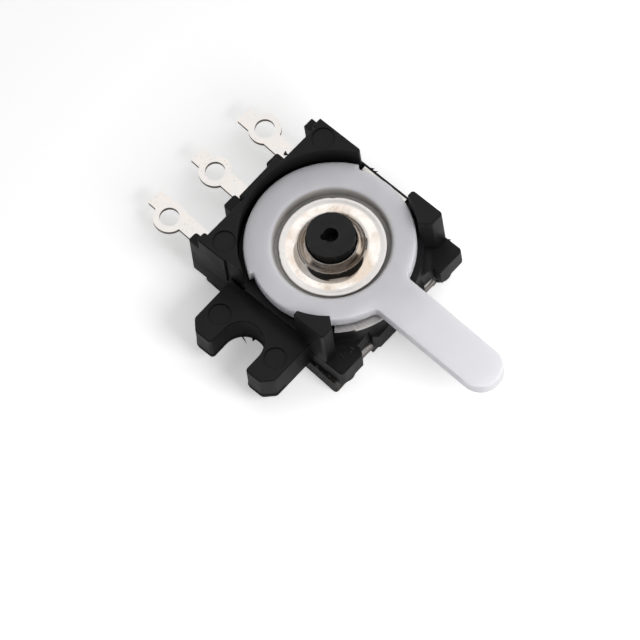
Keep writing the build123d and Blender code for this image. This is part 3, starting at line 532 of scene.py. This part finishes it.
def make_tent():
    """Studio round the switch: softbox overhead and on the far side, grey ceiling, dark near side."""
    world = bpy.data.worlds.new("light_tent")
    bpy.context.scene.world = world
    world.use_nodes = True
    tree = world.node_tree
    tree.nodes.clear()
    direction = add(tree, "ShaderNodeTexCoord").outputs["Generated"]
    height = add(tree, "ShaderNodeSeparateXYZ", None, {0: direction}).outputs["Z"]
    height = add(tree, "ShaderNodeMath", {"operation": "MAXIMUM"},
                 {0: height, 1: LOWEST_SKY}).outputs[0]
    # the softbox ends at one straight edge, given by its slopes from the vertical
    slopes = []
    for side, share in SLOPE_SHARES:
        along = add(tree, "ShaderNodeVectorMath", {"operation": "DOT_PRODUCT"},
                    {0: direction, 1: Vector(side) * share})
        slopes.append(add(tree, "ShaderNodeMath", {"operation": "DIVIDE"},
                          {0: along.outputs["Value"], 1: height}).outputs[0])
    beyond = add(tree, "ShaderNodeMath", {"operation": "ADD"}, {0: slopes[0], 1: slopes[1]})
    softbox = add(tree, "ShaderNodeMapRange", {"interpolation_type": "SMOOTHSTEP"}, {
        "Value": beyond.outputs[0], "From Min": SOFTBOX_EDGE[0], "From Max": SOFTBOX_EDGE[1],
        "To Min": 1.0, "To Max": 0.0})
    glow = add(tree, "ShaderNodeMapRange", {"interpolation_type": "SMOOTHSTEP"}, {
        "Value": height, "From Min": 0.4, "From Max": 0.8, "To Min": SOFTBOX_LOW, "To Max": SOFTBOX})
    upper = add(tree, "ShaderNodeMix", {"data_type": "FLOAT"},
                {0: softbox.outputs["Result"], 2: CEILING, 3: glow.outputs["Result"]})
    # the dark room on the near side, with one pale spot in it
    room = add(tree, "ShaderNodeVectorMath", {"operation": "DOT_PRODUCT"}, {
        0: direction, 1: NEAR_SIDE})
    dark = add(tree, "ShaderNodeMapRange", {"interpolation_type": "SMOOTHSTEP"}, {
        "Value": room.outputs["Value"], "From Min": ROOM_EDGE[0], "From Max": ROOM_EDGE[1]})
    spot = add(tree, "ShaderNodeVectorMath", {"operation": "DOT_PRODUCT"}, {
        0: direction, 1: PALE_AIM})
    pale = add(tree, "ShaderNodeMapRange", {"interpolation_type": "SMOOTHSTEP"}, {
        "Value": spot.outputs["Value"], "From Min": 0.97, "From Max": 0.99,
        "To Min": DARK_ROOM, "To Max": PALE_SPOT})
    bright = add(tree, "ShaderNodeMix", {"data_type": "FLOAT"},
                 {0: dark.outputs["Result"], 2: upper.outputs[0], 3: pale.outputs["Result"]})
    sky = add(tree, "ShaderNodeBackground", None, {"Color": (1, 1, 1, 1), "Strength": bright.outputs[0]})
    add(tree, "ShaderNodeOutputWorld", None, {"Surface": sky.outputs[0]})


# ---- pieces ----------------------------------------------------------------------
def lathe(bm, outline, steps, wobble):
    """Turn a closed outline of (radius, height) points in mm about the pivot.

    wobble(angle, i) is added to the radius of point i.
    """
    rings = []
    for step in range(steps):
        angle = math.tau * step / steps
        rings.append([bm.verts.new((
            (radius + wobble(angle, i)) * math.cos(angle) * MM,
            (radius + wobble(angle, i)) * math.sin(angle) * MM, height * MM))
            for i, (radius, height) in enumerate(outline)])
    for step, ring in enumerate(rings):
        after = rings[(step + 1) % steps]
        for i in range(len(outline)):
            j = (i + 1) % len(outline)
            bm.faces.new((ring[i], after[i], after[j], ring[j]))


def arc(middle, radius, start, end, count):
    """Points of an arc in the outline's plane, angles in degrees."""
    return [(middle[0] + radius * math.cos(math.radians(start + (end - start) * i / count)),
             middle[1] + radius * math.sin(math.radians(start + (end - start) * i / count)))
            for i in range(count + 1)]


def smooth_mesh(name, bm, material, sharp_angle):
    """Mesh object from a bmesh, faces outwards, smooth but for edges over sharp_angle degrees."""
    bmesh.ops.recalc_face_normals(bm, faces=bm.faces)
    for face in bm.faces:
        face.smooth = True
    for edge in bm.edges:
        if len(edge.link_faces) == 2 and edge.calc_face_angle(0) > math.radians(sharp_angle):
            edge.smooth = False
    mesh = bpy.data.meshes.new(name)
    bm.to_mesh(mesh)
    bm.free()
    mesh.materials.append(material)
    piece = bpy.data.objects.new(name, mesh)
    bpy.context.scene.collection.objects.link(piece)
    return piece


def make_cup():
    """Drawn cup: hub round the post, shallow dish and flat rim with small nicks."""
    cup_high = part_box("retaining_cup")[1]
    rim = cup_high.x / MM
    top = cup_high.z / MM - CUP_TOP_DROP
    bore = POST_RADIUS + HUB_GAP
    trough_z = RIM_HEIGHT - (DISH_RADIUS * (1 - math.cos(DISH_TILT)) + DISH_STEP)

    def bend(line, radius, start, end, count):
        """Continue the line by a hollow bend (start < end) or a crown, tilts in radians."""
        turn = 1 if end > start else -1
        middle = (line[-1][0] - turn * radius * math.sin(start),
                  line[-1][1] + turn * radius * math.cos(start))
        for i in range(1, count + 1):
            tilt = start + (end - start) * i / count
            line.append((middle[0] + turn * radius * math.sin(tilt),
                         middle[1] - turn * radius * math.cos(tilt)))

    upper = [(bore, top - 0.06), (bore + 0.03, top - 0.015), (bore + 0.07, top),
             (bore + 0.11, top - 0.03)]
    fall = upper[-1][1] - trough_z - FOOT_RADIUS * (1 - math.cos(HUB_TILT))
    start = upper[-1]
    upper += [(start[0] + fall / math.tan(HUB_TILT) * i / 6, start[1] - fall * i / 6)
              for i in range(1, 7)]
    bend(upper, FOOT_RADIUS, -HUB_TILT, 0.0, 16)
    bend(upper, DISH_RADIUS, 0.0, DISH_TILT, 24)
    bend(upper, CREST_RADIUS, DISH_TILT, 0.0, 4)
    step_radius = upper[-1][0]
    upper += [(rim - 0.3, RIM_HEIGHT - 0.004), (rim - 0.12, RIM_HEIGHT - 0.008)]
    first_rim = len(upper)
    upper += arc((rim - 0.06, RIM_HEIGHT - 0.07), 0.06, 80, 0, 5)
    outline = upper + [(rim, RIM_HEIGHT - CUP_SHEET + 0.05), (rim - 0.05, RIM_HEIGHT - CUP_SHEET)]
    # underside, one sheet below
    outline += [(step_radius, RIM_HEIGHT - CUP_SHEET),
                (bore + 0.95, trough_z - CUP_SHEET), (bore + 0.6, trough_z - CUP_SHEET + 0.02),
                (bore + 0.3, trough_z + 0.1), (bore, top - 0.6)]

    def wobble(angle, i):
        if not first_rim <= i <= len(upper) + 1:
            return 0.0
        bite = 0.006 * math.sin(5 * angle) + 0.004 * math.sin(23 * angle + 1)
        for place, depth, width in CUP_NICKS:
            bite += depth * math.exp(-((angle - place) / width) ** 2)
        return -bite

    bm = bmesh.new()
    lathe(bm, outline, CUP_STEPS, wobble)
    cup = smooth_mesh("drawn_cup", bm, drawn_nickel(), 50)
    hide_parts("retaining_cup")
    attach(cup, "switch_base")


def bake(name, mesh, tree, values, body):
    """Run a geometry tree on a mesh with its named inputs and keep the result as a plain piece."""
    source = bpy.data.objects.new(name, mesh)
    bpy.context.scene.collection.objects.link(source)
    modifier = source.modifiers.new("shape", "NODES")
    modifier.node_group = tree
    for item in tree.interface.items_tree:
        if item.name in values:
            modifier[item.identifier] = values[item.name]
    bpy.context.view_layer.update()
    finished = bpy.data.meshes.new_from_object(
        source.evaluated_get(bpy.context.evaluated_depsgraph_get()))
    source.modifiers.remove(modifier)
    source.data = finished
    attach(source, body)
    return source


def new_tree(name, inputs):
    """Geometry tree with one mesh in, one out, and named number inputs."""
    tree = bpy.data.node_groups.new(name, "GeometryNodeTree")
    tree.interface.new_socket("Mesh", in_out="INPUT", socket_type="NodeSocketGeometry")
    for label, kind in inputs:
        tree.interface.new_socket(label, in_out="INPUT", socket_type=kind)
    tree.interface.new_socket("Mesh", in_out="OUTPUT", socket_type="NodeSocketGeometry")
    return tree, add(tree, "NodeGroupInput").outputs


def make_fork_seam(material):
    """Low ridge where the mould's halves met, all round the fork just above its underside."""
    bm = bmesh.new()
    bm.from_mesh(nodes["housing"].data)
    bmesh.ops.remove_doubles(bm, verts=bm.verts, dist=1e-7)
    underside = min(v.co.z for v in bm.verts if v.co.y < FORK_ROOT_Y)
    bmesh.ops.bisect_plane(bm, geom=bm.verts[:] + bm.edges[:] + bm.faces[:],
                           plane_co=(0, 0, underside + SEAM_RISE), plane_no=(0, 0, 1),
                           clear_inner=True, clear_outer=True)
    bmesh.ops.delete(bm, geom=[v for v in bm.verts if v.co.y > FORK_ROOT_Y], context="VERTS")
    line = bpy.data.meshes.new("fork_seam")
    bm.to_mesh(line)
    bm.free()
    tree, given = new_tree("seam_ridge", [("Ridge Radius", "NodeSocketFloat")])
    path = add(tree, "GeometryNodeMeshToCurve", None, {"Mesh": given["Mesh"]})
    section = add(tree, "GeometryNodeCurvePrimitiveCircle", None,
                  {"Resolution": 8, "Radius": given["Ridge Radius"]})
    ridge = add(tree, "GeometryNodeCurveToMesh", None, {
        "Curve": path.outputs["Curve"], "Profile Curve": section.outputs["Curve"], "Fill Caps": True})
    coated = add(tree, "GeometryNodeSetMaterial", None,
                 {"Geometry": ridge.outputs["Mesh"], "Material": material})
    add(tree, "NodeGroupOutput", None, {"Mesh": coated.outputs["Geometry"]})
    seam = bake("fork_seam", line, tree, {"Ridge Radius": SEAM_RADIUS}, "switch_base")


def make_flash(material):
    """Thin torn flash and small burrs the mould left on the housing's edges."""
    bm = bmesh.new()
    draw = random.Random(FLASH_SEED)
    for root, tip, width in FLASH:
        root = Vector(root)
        along = Vector(tip) - root
        across = along.cross((0, 0, 1)).normalized() * width / 2
        lift = along.cross(across).normalized() * width * 0.3
        rings = []
        for i in range(FLASH_STEPS):
            share = i / FLASH_STEPS
            narrow = (1 - share) ** 0.7
            middle = root + along * share + across * draw.uniform(-0.35, 0.35) * share
            rings.append([bm.verts.new((middle + across * a * narrow + lift * b * narrow) * MM)
                          for a, b in FLASH_SECTION])
        end = bm.verts.new((root + along) * MM)
        for lower, upper in zip(rings, rings[1:]):
            for i in range(4):
                bm.faces.new((lower[i], lower[(i + 1) % 4], upper[(i + 1) % 4], upper[i]))
        for i in range(4):
            bm.faces.new((rings[-1][i], rings[-1][(i + 1) % 4], end))
        bm.faces.new(rings[0])
    flash = smooth_mesh("moulding_flash", bm, material, 60)
    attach(flash, "switch_base")


def make_dust():
    """Grains of settled dust on the low platform beside the slide plate."""
    bm = bmesh.new()
    x0, x1, y0, y1, z = DUST_PLACE
    bm.faces.new([bm.verts.new((x * MM, y * MM, z * MM))
                  for x, y in ((x0, y0), (x1, y0), (x1, y1), (x0, y1))])
    places = bpy.data.meshes.new("dust_grains")
    bm.to_mesh(places)
    bm.free()
    tree, given = new_tree("dust", [("Grains per Square Metre", "NodeSocketFloat"),
                                    ("Grain Radius", "NodeSocketFloat"), ("Seed", "NodeSocketInt")])
    points = add(tree, "GeometryNodeDistributePointsOnFaces", None, {
        "Mesh": given["Mesh"], "Density": given["Grains per Square Metre"], "Seed": given["Seed"]})
    grain = add(tree, "GeometryNodeMeshIcoSphere", None,
                {"Radius": given["Grain Radius"], "Subdivisions": 1})
    size = add(tree, "FunctionNodeRandomValue", {"data_type": "FLOAT_VECTOR"}, {
        0: DUST_STRETCH[0], 1: DUST_STRETCH[1], "Seed": given["Seed"]})
    scattered = add(tree, "GeometryNodeInstanceOnPoints", None, {
        "Points": points.outputs["Points"], "Instance": grain.outputs["Mesh"],
        "Scale": size.outputs[0]})
    real = add(tree, "GeometryNodeRealizeInstances", None, {0: scattered.outputs["Instances"]})
    coated = add(tree, "GeometryNodeSetMaterial", None,
                 {"Geometry": real.outputs["Geometry"], "Material": settled_dust()})
    add(tree, "NodeGroupOutput", None, {"Mesh": coated.outputs["Geometry"]})
    bake("dust_grains", places, tree,
         {"Grains per Square Metre": DUST_DENSITY, "Grain Radius": DUST_GRAIN, "Seed": DUST_SEED},
         "switch_base")


# ---- making ----------------------------------------------------------------------
make_camera()
make_studio()

black_nylon = moulded_black_nylon()
give(black_nylon, "housing")
make_fork_seam(black_nylon)
make_flash(black_nylon)
make_dust()
give(turned_black_nylon(), "pivot_post")
give(natural_nylon(), "lever")
give(silvered_brass(), "terminal_left", "terminal_common", "terminal_right",
     "left_rivet", "common_rivet", "right_rivet")
make_cup()
give(plated_steel(), "slide_plate")
give(phenolic_laminate(), "contact_board")
give(moulded_phenolic(), "contact_carrier")
give(phosphor_bronze(), "wiper")
give(spring_wire(), "return_spring")
